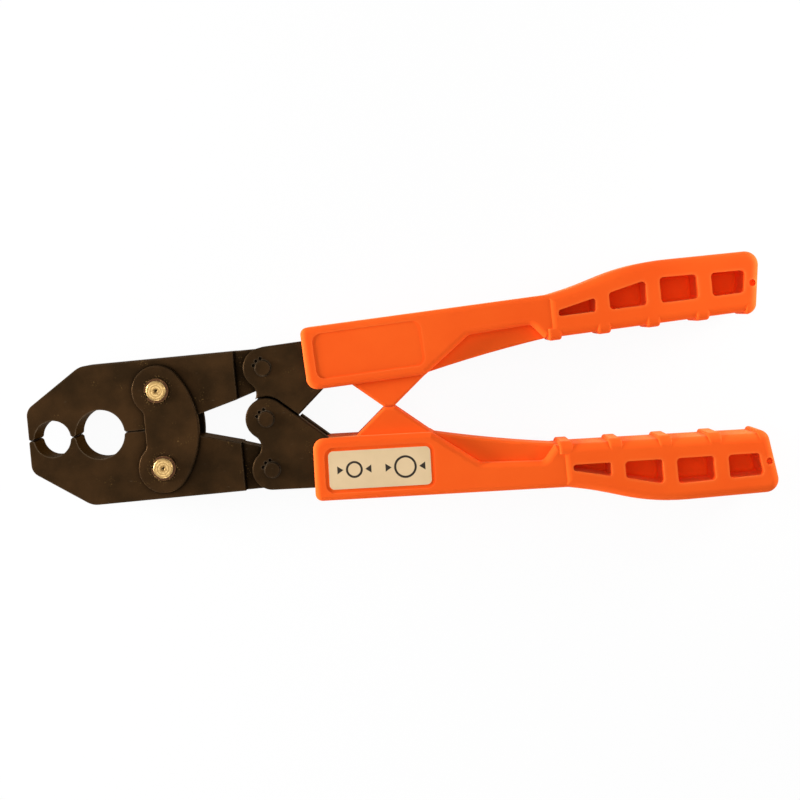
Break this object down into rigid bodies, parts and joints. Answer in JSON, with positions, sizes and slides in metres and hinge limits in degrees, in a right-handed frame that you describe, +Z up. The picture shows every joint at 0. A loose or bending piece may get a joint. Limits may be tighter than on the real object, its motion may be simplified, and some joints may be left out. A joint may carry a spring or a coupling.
{
  "type": "pex crimp tool",
  "caption": "Manual pipe-ring crimp tool with compound leverage: long moulded handles close linked jaws that hold a small and a large round crimp die.",
  "frame": {"origin": "middle of the closed tool's box, on the surface it lies on", "axes": "+X from the jaws to the handles' ends, +Y to the upper handle, +Z up out of the front face"},
  "size_m": [0.3652, 0.1188, 0.0266],
  "materials": {
    "black_steel": "dark brown-black oxide on forged steel, satin",
    "gold_plating": "yellow zinc plating on steel, turned",
    "bright_steel": "plain spring steel, dull",
    "orange_plastic": "moulded orange nylon, fine matt grain",
    "label_film": "plain cream label film"
  },
  "bodies": {
    "lower_handle": {"lower_front_plate": "black_steel", "lower_rear_plate": "black_steel", "lower_tang": "black_steel", "lower_arm_rivets": "bright_steel", "lower_sleeve": "orange_plastic", "label": "label_film", "lower_jaw_pin": "black_steel", "centre_pin": "black_steel", "centre_spacer": "black_steel"},
    "upper_handle": {"upper_front_plate": "black_steel", "upper_rear_plate": "black_steel", "upper_tang": "black_steel", "upper_arm_rivets": "bright_steel", "upper_sleeve": "orange_plastic", "upper_jaw_pin": "black_steel"},
    "upper_jaw": {"upper_jaw": "black_steel"},
    "lower_jaw": {"lower_jaw": "black_steel"},
    "link": {"front_link_plate": "black_steel", "rear_link_plate": "black_steel", "upper_link_bolt": "gold_plating", "lower_link_bolt": "gold_plating", "upper_bolt_front_ring": "bright_steel", "upper_bolt_rear_ring": "bright_steel", "lower_bolt_front_ring": "bright_steel", "lower_bolt_rear_ring": "bright_steel"}
  },
  "joints": [
    {"name": "handle_open", "type": "hinge", "parent": "lower_handle", "child": "upper_handle", "pos_m": [-0.065, 0, 0.0133], "axis": [0, 0, 1], "range_deg": [0, 118]},
    {"name": "upper_jaw_turn", "type": "hinge", "parent": "upper_handle", "child": "upper_jaw", "pos_m": [-0.0643, 0.0251, 0.0133], "axis": [0, 0, 1], "range_deg": [-71.5, 0]},
    {"name": "lower_jaw_turn", "type": "hinge", "parent": "lower_handle", "child": "lower_jaw", "pos_m": [-0.0643, -0.0251, 0.0133], "axis": [0, 0, 1], "range_deg": [0, 71.5]},
    {"name": "link_turn", "type": "hinge", "parent": "upper_jaw", "child": "link", "pos_m": [-0.1171, 0.019, 0.0133], "axis": [0, 0, 1], "range_deg": [0, 12.5]}
  ],
  "couplings": [
    {"joint": "upper_jaw_turn", "follows": "handle_open", "ratio": -0.60593},
    {"joint": "lower_jaw_turn", "follows": "handle_open", "ratio": 0.60593},
    {"joint": "link_turn", "follows": "handle_open", "ratio": 0.10593}
  ]
}
